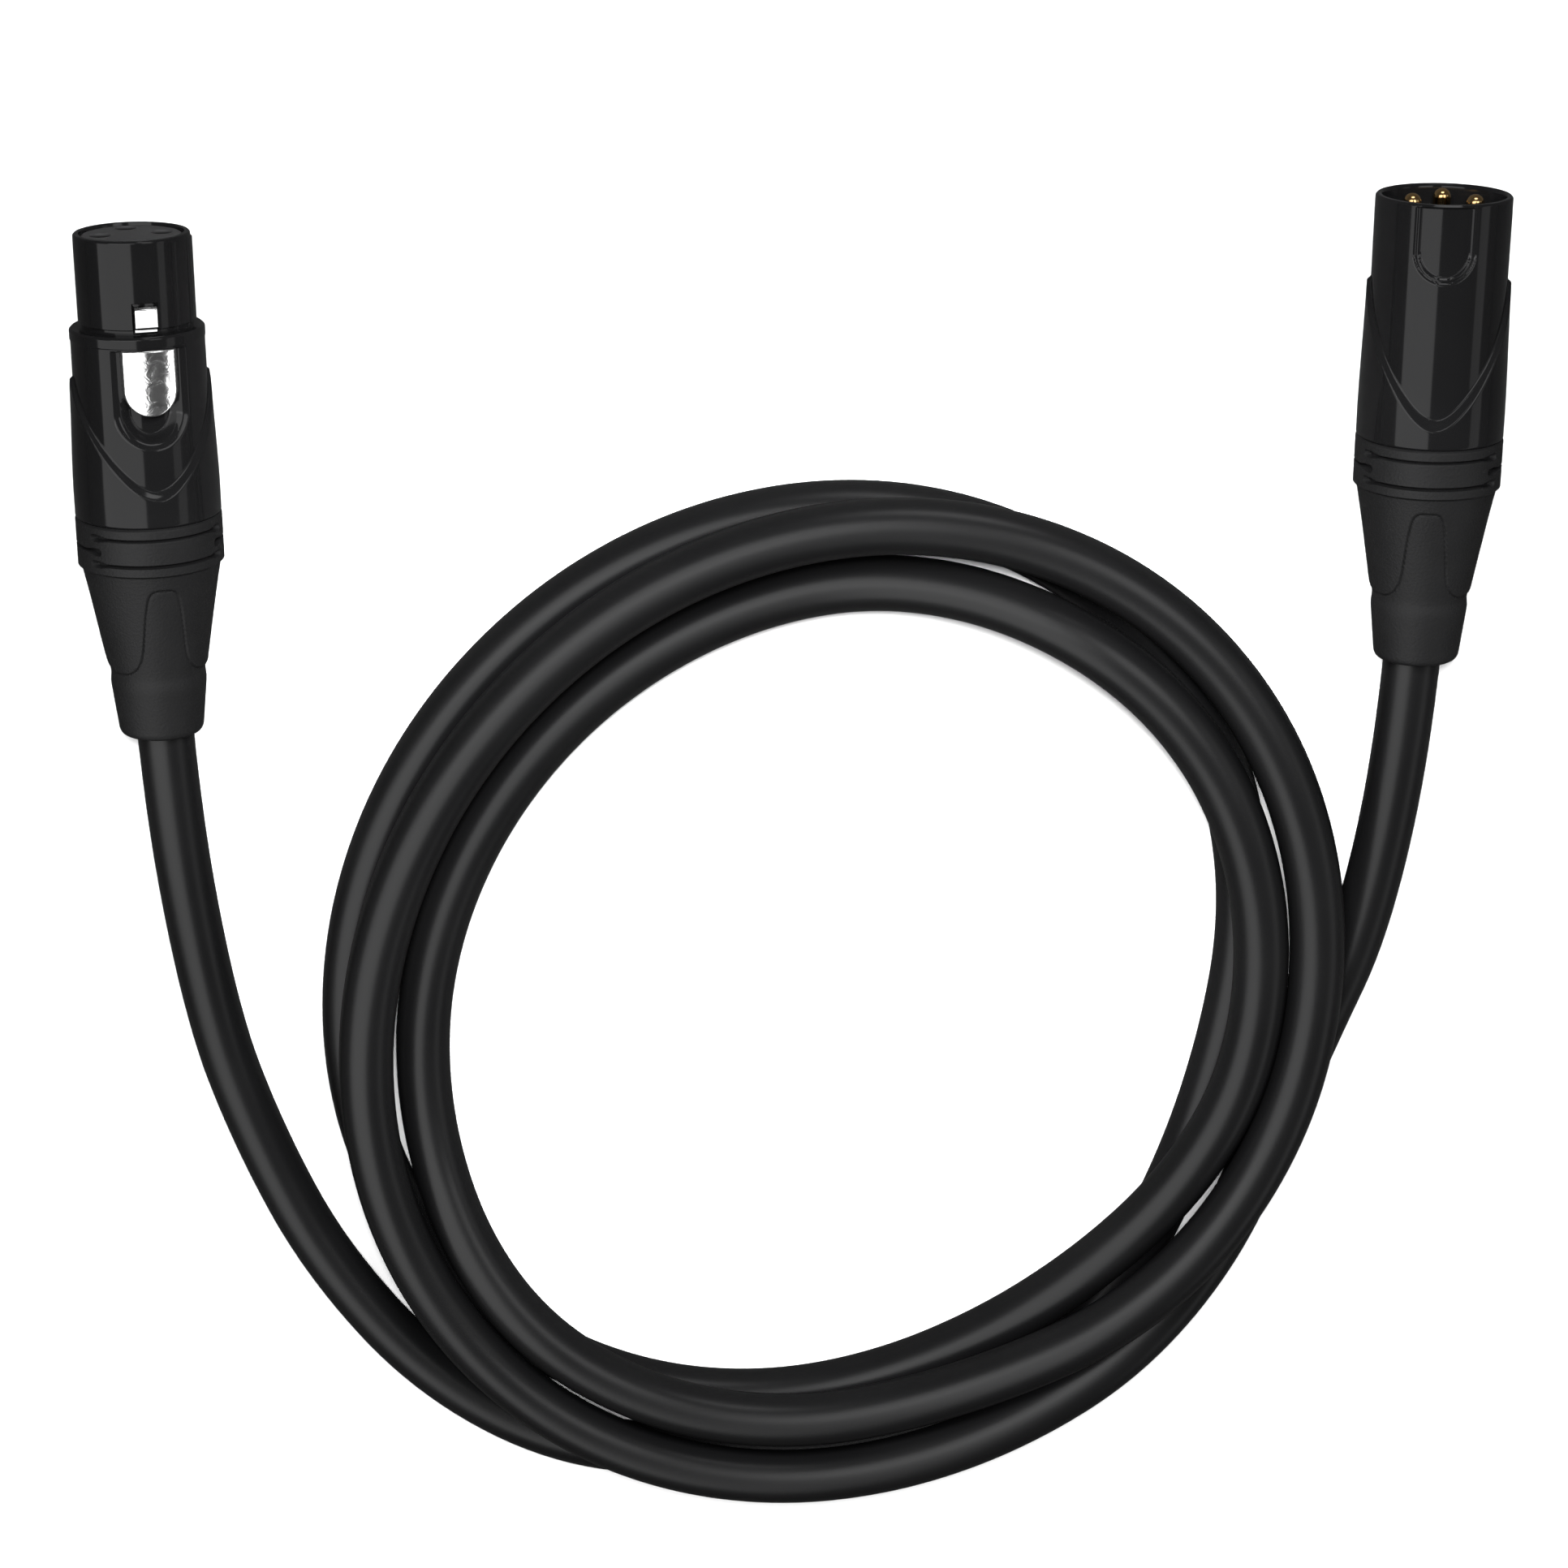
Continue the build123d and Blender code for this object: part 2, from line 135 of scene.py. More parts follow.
# height of a strand: the inner one lies on the floor on one side and on the others elsewhere
def strandHeight(place, degrees):
    if place in ("under", "back"):
        return cable["floor"]
    if place == "outer":
        return cable["top"]
    turn = degrees % 360
    if turn > cable["upFrom"]:
        return cable["top"]
    (downStart, downSpan), (upStart, upSpan) = cable["down"], cable["up"]
    down = smooth((turn - downStart) / downSpan) - smooth((turn - upStart) / upSpan)
    return cable["top"] - (cable["top"] - cable["floor"]) * down


def strandPoint(place, degrees):
    x, y, halfWidth, halfHeight, lean = cable["places"][place]
    a = math.radians(degrees)
    across = halfWidth * math.cos(a)
    along = halfHeight * (lean * math.cos(a) + math.sqrt(1 - lean * lean) * math.sin(a))
    return Vector((x + across, y + along, strandHeight(place, degrees)))


# one point of the turns; the angle runs on from turn to turn
def coilPoint(degrees):
    order = cable["order"]
    turn = int((degrees - cable["swapStart"]) // 360)
    if turn < 0:
        return strandPoint(order[0], degrees)
    turn = min(turn, 3)
    span = cable["swapEnd"] - cable["swapStart"]
    share = smooth((degrees - 360 * turn - cable["swapStart"]) / span)
    here = strandPoint(order[turn], degrees).lerp(strandPoint(order[turn + 1], degrees), share)
    out, up = cable["swing"][turn]
    bulge = math.sin(math.pi * share)
    a = math.radians(degrees)
    return here + Vector((math.cos(a) * out, math.sin(a) * out, up)) * bulge


def coilTurns():
    first, last = cable["firstAngle"], cable["lastAngle"]
    count = round((last - first) * cable["pointsPerTurn"] / 360)
    half = math.cos(math.pi / cable["pointsPerTurn"])
    grow = 4 / (1 + 2 * half + half * half)  # a spline runs inside its control points
    middle = Vector((*cable["middle"], 0))
    points = []
    for i in range(count + 1):
        point = coilPoint(first + (last - first) * i / count)
        flat = (point - middle) * grow + middle
        points.append(Vector((flat.x, flat.y, point.z)))
    return points


def makeCable():
    data = bpy.data.curves.new("cable", "CURVE")
    data.dimensions = "3D"
    data.bevel_depth = cable["diameter"] / 2
    data.bevel_resolution = cable["smoothness"]
    data.resolution_u = cable["smoothness"]
    data.use_fill_caps = True
    spline = data.splines.new("NURBS")
    points = [Vector(p) for p in cable["femaleTail"]] + coilTurns()
    points += [Vector(p) for p in cable["maleTail"]]
    spline.points.add(len(points) - 1)
    for target, point in zip(spline.points, points):
        target.co = (*point, 1)
    spline.order_u = 3
    spline.use_endpoint_u = True
    piece = bpy.data.objects.new("cable", data)
    scene.collection.objects.link(piece)
    return piece


cablePiece = makeCable()
print("cable laid")


# shader node groups

def newGroup(name, inputs, outputs):
    group = bpy.data.node_groups.new(name, "ShaderNodeTree")
    for label, kind, value in inputs:
        socket = group.interface.new_socket(label, in_out="INPUT", socket_type=kind)
        if value is not None:
            socket.default_value = value
    for label, kind in outputs:
        group.interface.new_socket(label, in_out="OUTPUT", socket_type=kind)
    return group, group.nodes.new("NodeGroupInput"), group.nodes.new("NodeGroupOutput")


def mathNode(tree, operation, first, second):
    node = tree.nodes.new("ShaderNodeMath")
    node.operation = operation
    for socket, value in zip(node.inputs, (first, second)):
        if isinstance(value, (int, float)):
            socket.default_value = value
        else:
            tree.links.new(value, socket)
    return node.outputs[0]


# fine skin of a moulded part: a height, and a slow mottle for roughness and colour
def mouldedGrain():
    group, inlet, outlet = newGroup(
        "moulded grain",
        (("Grain Size", "NodeSocketFloat", 2500.0), ("Mottle Size", "NodeSocketFloat", 90.0)),
        (("Height", "NodeSocketFloat"), ("Mottle", "NodeSocketFloat")),
    )
    place = group.nodes.new("ShaderNodeTexCoord")
    grain = group.nodes.new("ShaderNodeTexNoise")
    grain.inputs["Detail"].default_value = 3.0
    group.links.new(place.outputs["Object"], grain.inputs["Vector"])
    group.links.new(inlet.outputs["Grain Size"], grain.inputs["Scale"])
    pits = group.nodes.new("ShaderNodeTexVoronoi")
    group.links.new(place.outputs["Object"], pits.inputs["Vector"])
    group.links.new(inlet.outputs["Grain Size"], pits.inputs["Scale"])
    mottle = group.nodes.new("ShaderNodeTexNoise")
    mottle.inputs["Detail"].default_value = 4.0
    group.links.new(place.outputs["Object"], mottle.inputs["Vector"])
    group.links.new(inlet.outputs["Mottle Size"], mottle.inputs["Scale"])
    pitHeight = mathNode(group, "MULTIPLY", pits.outputs["Distance"], 0.6)
    height = mathNode(group, "ADD", grain.outputs["Fac"], pitHeight)
    group.links.new(height, outlet.inputs["Height"])
    group.links.new(mottle.outputs["Fac"], outlet.inputs["Mottle"])
    return group


# faint smears left by hands
def handSmears():
    group, inlet, outlet = newGroup(
        "hand smears",
        (("Smear Size", "NodeSocketFloat", 60.0),),
        (("Smears", "NodeSocketFloat"),),
    )
    place = group.nodes.new("ShaderNodeTexCoord")
    smears = group.nodes.new("ShaderNodeTexNoise")
    smears.inputs["Detail"].default_value = 2.0
    smears.inputs["Distortion"].default_value = 0.8
    group.links.new(place.outputs["Object"], smears.inputs["Vector"])
    group.links.new(inlet.outputs["Smear Size"], smears.inputs["Scale"])
    group.links.new(smears.outputs["Fac"], outlet.inputs["Smears"])
    return group


grainGroup = mouldedGrain()
smearGroup = handSmears()


# materials

def newMaterial(name, values):
    material = bpy.data.materials.new(name)
    material.use_nodes = True
    shader = material.node_tree.nodes["Principled BSDF"]
    for label, value in values.items():
        shader.inputs[label].default_value = value
    return material, material.node_tree, shader


def blendColours(tree, shader, factor, low, high):
    mix = tree.nodes.new("ShaderNodeMix")
    mix.data_type = "RGBA"
    mix.inputs[6].default_value = (*low, 1)
    mix.inputs[7].default_value = (*high, 1)
    tree.links.new(factor, mix.inputs[0])
    tree.links.new(mix.outputs[2], shader.inputs["Base Color"])


def blendValues(tree, socket, factor, low, high):
    spread = tree.nodes.new("ShaderNodeMapRange")
    spread.inputs["To Min"].default_value = low
    spread.inputs["To Max"].default_value = high
    tree.links.new(factor, spread.inputs["Value"])
    tree.links.new(spread.outputs["Result"], socket)


def addBump(tree, shader, height, strength, distance):
    bump = tree.nodes.new("ShaderNodeBump")
    bump.inputs["Strength"].default_value = strength
    bump.inputs["Distance"].default_value = distance
    tree.links.new(height, bump.inputs["Height"])
    tree.links.new(bump.outputs["Normal"], shader.inputs["Normal"])


def placeGroup(tree, group, sizes):
    node = tree.nodes.new("ShaderNodeGroup")
    node.node_tree = group
    for label, value in sizes.items():
        node.inputs[label].default_value = value
    return node


# each finish: its shader's own values, two colours and two roughnesses that its pattern moves between,
# the sizes of grain or smears, and the bump as strength and depth
looks = {
    "black_shell": {
        "name": "glossy black plating", "shader": {"Specular IOR Level": 0.27},
        "colours": ((0.0036, 0.0036, 0.0038), (0.0050, 0.0050, 0.0052)), "roughness": (0.07, 0.13),
        "smears": {}, "grain": {"Grain Size": 900.0}, "bump": (0.02, 0.05 * mm),
    },
    "cable_jacket": {
        "name": "satin cable jacket", "shader": {"Specular IOR Level": 0.42},
        "colours": ((0.0022, 0.0022, 0.0024), (0.0042, 0.0042, 0.0044)), "roughness": (0.30, 0.40),
        "grain": {"Grain Size": 1800.0, "Mottle Size": 45.0}, "bump": (0.08, 0.05 * mm),
    },
    "black_rubber": {
        "name": "grained boot rubber", "shader": {"Specular IOR Level": 0.28},
        "colours": ((0.0040, 0.0040, 0.0042), (0.0066, 0.0066, 0.0068)), "roughness": (0.48, 0.62),
        "grain": {"Grain Size": 2600.0, "Mottle Size": 140.0}, "bump": (0.5, 0.08 * mm),
    },
    "black_insert": {
        "name": "insert plastic", "shader": {"Specular IOR Level": 0.4},
        # the darker colour is painted shade inside the sockets, the lighter one the insert's own tone
        "colours": ((0.001, 0.001, 0.001), (0.036, 0.036, 0.037)), "roughness": (0.40, 0.55),
        "grain": {"Grain Size": 1500.0}, "bump": (0.15, 0.05 * mm),
        "paintedShadeDepths": (0.05 * mm, 0.45 * mm),  # depths between which painted shade darkens the colour inside the sockets
        "cloud": (0.7, 0.4),  # least share of the colour, and how much the mottle adds
    },
    "chrome_latch": {
        "name": "bright nickel", "shader": {"Metallic": 1.0},
        "colours": ((0.80, 0.80, 0.80), (0.92, 0.92, 0.92)), "roughness": (0.10, 0.24),
        "smears": {"Smear Size": 700.0}, "bump": (0.25, 0.25 * mm),
    },
    "gold_contact": {
        "name": "gold plating", "shader": {"Metallic": 1.0},
        "colours": ((0.83, 0.50, 0.20), (0.95, 0.66, 0.32)), "roughness": (0.10, 0.20),
        "smears": {"Smear Size": 300.0},
    },
    "tinned_steel": {
        "name": "tinned steel", "shader": {"Metallic": 1.0},
        "colours": ((0.50, 0.50, 0.49), (0.66, 0.66, 0.64)), "roughness": (0.22, 0.40),
        "smears": {"Smear Size": 250.0},
    },
    "white_nylon": {
        "name": "natural nylon", "shader": {"Specular IOR Level": 0.5},
        "colours": ((0.62, 0.61, 0.56), (0.74, 0.73, 0.68)), "roughness": (0.3, 0.5),
        "grain": {"Mottle Size": 220.0},
    },
    "shield_sleeve": {
        "name": "black shrink sleeve", "shader": {"Specular IOR Level": 0.5},
        "colours": ((0.012, 0.012, 0.012), (0.02, 0.02, 0.02)), "roughness": (0.3, 0.5),
        "grain": {"Mottle Size": 220.0},
    },
    "red_insulation": {
        "name": "red insulation", "shader": {"Specular IOR Level": 0.5},
        "colours": ((0.42, 0.02, 0.015), (0.52, 0.03, 0.02)), "roughness": (0.3, 0.5),
        "grain": {"Mottle Size": 220.0},
    },
    "white_insulation": {
        "name": "white insulation", "shader": {"Specular IOR Level": 0.5},
        "colours": ((0.66, 0.66, 0.64), (0.76, 0.76, 0.74)), "roughness": (0.3, 0.5),
        "grain": {"Mottle Size": 220.0},
    },
}


# painted shade inside the sockets: 1 at the face of the socket insert and 0 a little way in, broken up by
# the mottle
def paintedSocketShade(tree, look, mottle):
    place = tree.nodes.new("ShaderNodeTexCoord")
    parts = tree.nodes.new("ShaderNodeSeparateXYZ")
    tree.links.new(place.outputs["Object"], parts.inputs["Vector"])
    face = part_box("female_insert")[1].y
    near, far = look["paintedShadeDepths"]
    least, more = look["cloud"]
    shade = tree.nodes.new("ShaderNodeMapRange")
    shade.inputs["From Min"].default_value = face - far
    shade.inputs["From Max"].default_value = face - near
    tree.links.new(parts.outputs["Y"], shade.inputs["Value"])
    cloud = mathNode(tree, "ADD", mathNode(tree, "MULTIPLY", mottle, more), least)
    return mathNode(tree, "MULTIPLY", shade.outputs["Result"], cloud)


def makeFinish(look):
    material, tree, shader = newMaterial(look["name"], look["shader"])
    height = pattern = None
    if "grain" in look:
        grain = placeGroup(tree, grainGroup, look["grain"])
        height, pattern = grain.outputs["Height"], grain.outputs["Mottle"]
    if "smears" in look:
        pattern = placeGroup(tree, smearGroup, look["smears"]).outputs["Smears"]
    # for the insert the pattern is multiplied by painted shade inside the sockets
    patternAndPaintedShade = paintedSocketShade(tree, look, pattern) if "paintedShadeDepths" in look else pattern
    blendColours(tree, shader, patternAndPaintedShade, *look["colours"])
    blendValues(tree, shader.inputs["Roughness"], pattern, *look["roughness"])
    if "bump" in look:
        addBump(tree, shader, height or pattern, *look["bump"])
    return material


finishes = {slot: makeFinish(look) for slot, look in looks.items()}
slotOf = {row["node"]: row["material_slot"] for row in frame["record"]["subparts"]}


def dress(piece, slot):
    piece.data.materials.clear()
    piece.data.materials.append(finishes[slot])


for name, node in frame["nodes"].items():
    dress(node, slotOf[name])

dress(cablePiece, "cable_jacket")
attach(cablePiece, "cable_and_shells")
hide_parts("cable_female_tail", "cable_coil", "cable_male_tail")
print("materials made")


# skins wound round a connector, in millimetres
# depth runs back from the front face, and the angle runs round from the latch side

connectors = {
    "female": {"front": (-88.85, 33.0, 10.1), "lean": 19.5},
    "male": {"front": (88.85, 38.1, 10.1), "lean": -7.0},
}


def ramp(x, start, end):
    t = np.clip((x - start) / (end - start), 0, 1)
    return t * t * (3 - 2 * t)


# depths between marks, each mark given with the spacing that follows it
def spaced(*marks):
    depths = []
    for (start, step), (end, _) in zip(marks, marks[1:]):
        count = max(1, round((end - start) / step))
        depths += [start + (end - start) * i / count for i in range(count)]
    return depths + [marks[-1][0]]


def axesOf(side):
    lean = math.radians(connectors[side]["lean"])
    front = np.array(connectors[side]["front"])
    latchWay = np.array((math.sin(lean), 0, math.cos(lean)))
    rightWay = np.array((math.cos(lean), 0, -math.sin(lean)))
    return front, latchWay, rightWay, np.array((0, -1, 0))


def newPiece(name, points, faces, sharpAngle=45):
    mesh = bpy.data.meshes.new(name)
    mesh.from_pydata([tuple(float(c) * mm for c in p) for p in points], [], faces)
    mesh.polygons.foreach_set("use_smooth", [True] * len(mesh.polygons))
    mesh.set_sharp_from_angle(angle=math.radians(sharpAngle))
    piece = bpy.data.objects.new(name, mesh)
    scene.collection.objects.link(piece)
    return piece


# outer rows take their radius from a function of depth and angle
# inner rows are plain rings that close the skin
def windSkin(name, side, depths, outer, inner, columns=384, sharpAngle=45):
    front, latchWay, rightWay, back = axesOf(side)
    angles = np.linspace(-math.pi, math.pi, columns, endpoint=False)
    d, t = np.meshgrid(np.array(depths), angles, indexing="ij")
    r = outer(d, t)
    innerDepths = np.array([row[0] for row in inner])[:, None] * np.ones(columns)
    innerRadii = np.array([row[1] for row in inner])[:, None] * np.ones(columns)
    d = np.vstack((d, innerDepths))[..., None]
    r = np.vstack((r, innerRadii))[..., None]
    t = np.vstack((t, np.tile(angles, (len(inner), 1))))[..., None]
    points = front + back * d + (latchWay * np.cos(t) + rightWay * np.sin(t)) * r
    rows = d.shape[0]
    i, j = np.meshgrid(np.arange(rows), np.arange(columns), indexing="ij")
    down, across = (i + 1) % rows, (j + 1) % columns
    corners = (i * columns + j, down * columns + j, down * columns + across, i * columns + across)
    faces = np.stack(corners, -1)
    return newPiece(name, points.reshape(-1, 3), faces.reshape(-1, 4).tolist(), sharpAngle)


def settle(piece, body, slotName, *nodes):
    piece.data.materials.clear()
    piece.data.materials.append(finishes[slotName])
    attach(piece, body)
    if nodes:
        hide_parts(*nodes)
    return piece


# the raised rear of a housing
# its front edge is a V with a rounded foot, on the latch side and behind it
def swoosh(d, t, values):
    foot, tip = values["swooshFoot"], values["swooshTip"]
    turn = np.abs(np.degrees(t)) / 90
    turn = np.minimum(turn, 2 - turn)
    soft = values["swooshRound"]
    climb = (np.sqrt(turn * turn + soft * soft) - soft) / (math.sqrt(1 + soft * soft) - soft)
    edge = foot - (foot - tip) * climb
    width = values["bevelFoot"] + (values["bevelTip"] - values["bevelFoot"]) * climb
    x = np.clip((d - edge + width) / width, 0, 1)
    return 0.55 * x + 0.45 * x * x * (3 - 2 * x)


# radius of that raised rear
def skirtAt(d, values):
    growth = values["skirtRear"] - values["skirtFront"]
    skirt = values["skirtFront"] + growth * ramp(d, values["swooshTip"], values["length"] - 3)
    return skirt - 0.3 * ramp(d, values["length"] - 0.35, values["length"] + 0.05)


# inside a U that is open towards the front: distance in from its outline, below 0 outside it
def insideU(d, t, radius, width, end):
    across = radius * np.sin(t)
    centre = end - width / 2
    straight = width / 2 - np.abs(across)
    arc = width / 2 - np.hypot(across, d - centre)
    inside = np.where(d < centre, straight, arc)
    return np.where(np.cos(t) > 0, inside, -9)


femaleShell = {
    "length": 39.2,
    "noseRadius": 7.9,
    "noseEdge": 0.22,  # how far each edge is rounded or stepped down
    "noseEnd": 12.5,
    "noseStep": 0.45,
    "collarStart": 12.72,
    "collarEdge": 0.28,
    "collarRadius": 9.2,
    "collarEnd": 14.4,
    "gripRadius": 9.1,
    "gripSwell": 0.16,
    "skirtFront": 9.62,
    "skirtRear": 10.05,
    "swooshTip": 19.6,
    "swooshFoot": 35.3,
    "swooshRound": 0.25,
    "bevelFoot": 1.25,
    "bevelTip": 0.45,
    "scoopWidth": 9.7,
    "scoopEnd": 27.9,
    "scoopRadius": 9.2,
    "scoopLip": 0.35,
    "scoopDepth": 2.0,
    "hookWindow": (8.45, 12.6),  # from and to
    "hookWindowWidth": 3.5,
    "windowFloor": 7.02,
    "softEdge": 0.04,
    "ribAngles": (58, 80),
    "ribFlanks": (1.5, 2),
    "ribHeight": 0.22,
    "seamAngle": 37,
    "seamWidth": 0.9,
    "seamDepth": 0.10,
    # where rows of points begin, each with the spacing that follows it
    "rows": ((0, 0.08), (0.8, 0.4), (8.2, 0.06), (8.6, 0.35), (11.6, 0.07), (15.0, 0.16), (29, 0.17),
             (36.5, 0.35), (38.6, 0.1)),
    # depth and radius of the bore, from the rear to the front
    "boreRear": 8.45,
    "bore": ((28.5, 8.45), (27.2, 6.98), (0.35, 6.98), (0.0, 7.1)),
}


# the nose, with a rib and a moulding seam
def noseAt(d, degrees):
    v = femaleShell
    r = v["noseRadius"] - v["noseEdge"] * (1 - ramp(d, -0.05, 0.25))
    first, last = v["ribAngles"]
    rise, fall = v["ribFlanks"]
    rib = ramp(degrees, first, first + rise) * ramp(-degrees, -last, fall - last)
    r = r + v["ribHeight"] * rib * ramp(d, 0.5, 0.7)
    seam = np.exp(-((degrees - v["seamAngle"]) / v["seamWidth"]) ** 2)
    r = r - v["seamDepth"] * seam * ramp(d, 0.4, 0.6)
    return r - v["noseStep"] * ramp(d, v["noseEnd"] - 0.55, v["noseEnd"] - 0.35)


# the collar and the grip behind it
def gripAt(d):
    v = femaleShell
    slope = (d - v["collarEnd"]) / (v["length"] - v["collarEnd"])
    step = v["gripRadius"] - v["collarRadius"]
    r = v["collarRadius"] + step * ramp(d, v["collarEnd"] - 0.12, v["collarEnd"])
    r = r + v["gripSwell"] * np.clip(slope, 0, 1)
    return r - v["collarEdge"] * (1 - ramp(d, 12.75, 13.1))


def femaleOuter(d, t):
    v = femaleShell
    r = np.where(d < v["collarStart"], noseAt(d, np.degrees(t)), gripAt(d))
    r = r + (skirtAt(d, v) - r) * swoosh(d, t, v)
    # the scoop round the thumb tab, with a soft lip
    inside = insideU(d, t, v["scoopRadius"], v["scoopWidth"], v["scoopEnd"])
    lip = v["scoopLip"] * ramp(inside, -0.55, 0.25)
    hollow = (v["scoopDepth"] - v["scoopLip"]) * ramp(inside, 0.05, 1.55)
    r = r - ramp(d, v["collarEnd"] + 0.15, v["collarEnd"] + 0.45) * (lip + hollow)
    # the window that the hook stands in
    start, end = v["hookWindow"]
    soft = v["softEdge"]
    across = v["noseRadius"] * np.sin(t)
    hole = ramp(v["hookWindowWidth"] / 2 - np.abs(across), -soft, soft) * (np.cos(t) > 0)
    hole = hole * ramp(d, start - soft, start + soft) * (1 - ramp(d, end - soft, end + soft))
    return r + (np.minimum(r, v["windowFloor"]) - r) * hole


def makeFemaleShell():
    v = femaleShell
    depths = spaced(*v["rows"], (v["length"], 1))
    inner = ((v["length"], v["boreRear"]), *v["bore"])
    skin = windSkin("female_housing", "female", depths, femaleOuter, inner)
    return settle(skin, "cable_and_shells", "black_shell", "female_shell")


maleShell = {
    "length": 33.3,
    "rimRadius": 9.2,
    "barrelRear": 9.12,
    "skirtFront": 9.72,
    "skirtRear": 10.05,
    "swooshTip": 11.8,
    "swooshFoot": 30.6,
    "swooshRound": 0.25,
    "bevelFoot": 1.5,
    "bevelTip": 0.55,
    "panelWidth": 8.5,
    "panelEnd": 10.7,
    "panelDepth": 0.5,
    # the U panel: a groove, a step up and a sunk field, as shares of the depth with where each runs
    "panelSteps": ((0.45, 0, 0.22), (-0.22, 0.30, 0.48), (0.77, 0.62, 0.92)),
    "rimEdge": 0.25,
    "rows": ((0, 0.08), (0.8, 0.15), (11.2, 0.17), (32.0, 0.3), (32.9, 0.1)),
    "boreRear": 8.45,
    "bore": ((24, 8.45), (23, 8.22), (0.5, 8.22), (0.12, 8.32), (0, 8.45)),
}


def maleOuter(d, t):
    v = maleShell
    r = v["rimRadius"] + (v["barrelRear"] - v["rimRadius"]) * ramp(d, 1, v["length"])
    r = r - v["rimEdge"] * (1 - ramp(d, -0.05, 0.3))
    inside = insideU(d, t, v["rimRadius"], v["panelWidth"], v["panelEnd"])
    sunk = sum(share * ramp(inside, start, end) for share, start, end in v["panelSteps"])
    r = r - v["panelDepth"] * sunk * ramp(d, 0.25, 0.6)
    return r + (skirtAt(d, v) - r) * swoosh(d, t, v)


def makeMaleShell():
    v = maleShell
    depths = spaced(*v["rows"], (v["length"], 1))
    inner = ((v["length"], v["boreRear"]), *v["bore"])
    skin = windSkin("male_housing", "male", depths, maleOuter, inner)
    return settle(skin, "cable_and_shells", "black_shell", "male_shell")


makeFemaleShell()
makeMaleShell()
print("housings wound")


# boots: a slotted nut band and a grained sleeve with three petals, alike on both connectors

boot = {
    "band": 7.0,
    "radius": 10.1,
    # depth in the band, middle and half span in degrees
    "slots": ((1.6, 0, 59), (1.6, 180, 59), (3.6, 94, 40), (3.6, 266, 40), (5.3, 0, 59), (5.3, 180, 59)),
    "slotThin": 0.16,
    "slotEnd": 0.44,
    "slotDepth": 0.95,
    "slotEdge": 0.10,
    "frontEdge": 0.3,
    "rearEdge": 0.42,
    # where rows of points begin, each with the spacing that follows it
    "bandRows": ((0, 0.08), (6.2, 0.12)),
    "sleeveRows": ((0, 0.2), (16.5, 0.6)),
    # depth and radius of the band's bore and its spigot, from the rear to the front
    "bandBoreRear": 7.3,
    "bandBore": ((5, 6.3), (-4.5, 6.3), (-4.5, 7.3), (-4.0, 8.38), (0, 8.38)),
    "sleeveLength": 24.9,
    "sleeveFront": 9.62,
    "neck": 15.0,
    "neckRadius": 6.95,
    "endRadius": 5.85,
    "taper": 0.93,
    "petalTip": 15.0,
    "petalSag": 2.6,
    "archTop": 2.0,
    "archAngle": 19,
    "archSoftness": 2.7,
    "petalHeight": 0.30,
    "petalEnd": (15.5, 17.5),  # the petals fade out between these depths
    "petalEdge": (-0.08, 0.16),
    "grooveDepth": 0.10,
    "grooveWidth": 0.12,
    "tipLength": 1.0,
    "tipRound": 0.6,
    "cableBore": 4.45,
    "mouth": 5.1,
}


def bandOuter(start):
    def outer(d, t):
        v = boot
        s = d - start
        r = v["radius"] - v["frontEdge"] * (1 - ramp(s, -0.03, 0.3))
        r = r - v["rearEdge"] * ramp(s, v["band"] - 0.35, v["band"] - 0.02)
        sunk = np.zeros_like(d)
        for row, middle, span in v["slots"]:
            turn = (np.degrees(t) - middle + 180) % 360 - 180
            along = np.abs(np.radians(turn)) * v["radius"]
            reach = math.radians(span) * v["radius"]
            half = v["slotThin"] + (v["slotEnd"] - v["slotThin"]) * ramp(along, reach - 2.8, reach - 0.6)
            past = np.hypot(np.maximum(along - reach, 0), s - row)
            sunk = np.maximum(sunk, ramp(half - past, -v["slotEdge"], v["slotEdge"]))
        return r - v["slotDepth"] * sunk
    return outer


def makeBand(side, start):
    v = boot
    rear = start + v["band"]
    depths = spaced(*((start + depth, step) for depth, step in v["bandRows"]), (rear, 1))
    inner = ((rear, v["bandBoreRear"]), *((start + depth, radius) for depth, radius in v["bandBore"]))
    band = windSkin(side + "_boot_band", side, depths, bandOuter(start), inner)
    return settle(band, side + "_boot", "black_rubber", side + "_boot_nut")


def sleeveOuter(start):
    def outer(d, t):
        v = boot
        s = d - start
        widening = v["neckRadius"] - v["sleeveFront"]
        narrowing = v["endRadius"] - v["neckRadius"]
        toNeck = v["sleeveFront"] + widening * (s / v["neck"]) ** v["taper"]
        toEnd = v["neckRadius"] + narrowing * (s - v["neck"]) / (v["sleeveLength"] - v["neck"])
        r = np.where(s < v["neck"], toNeck, toEnd)
        # the three petals, whose edge runs round an arch between them
        fold = np.abs((np.degrees(t) + 60) % 120 - 60)  # degrees from the middle of the nearest arch
        foot = v["petalTip"] - v["petalSag"] * (np.clip(60 - fold, 0, 40) / 36) ** 3
        turned = np.exp((v["archAngle"] - fold) / v["archSoftness"])
        edge = v["archTop"] + (foot - v["archTop"]) / (1 + turned)
        # where the edge runs steeply, the gap is measured across it
        slant = 1 + (14 * np.exp(-((fold - v["archAngle"]) / 6) ** 2))
        gap = (edge - s) / np.sqrt(slant)
        sunk = (1 - ramp(gap, *v["petalEdge"])) * ramp(s, 0.2, 0.8) * (1 - ramp(s, *v["petalEnd"]))
        r = r - v["petalHeight"] * sunk
        r = r - v["grooveDepth"] * np.exp(-((gap + v["grooveDepth"]) / v["grooveWidth"]) ** 2)
        tip = np.clip((s - (v["sleeveLength"] - v["tipLength"])) / v["tipLength"], 0, 1)
        return r - v["tipRound"] * (1 - np.sqrt(1 - tip * tip * 0.98))
    return outer


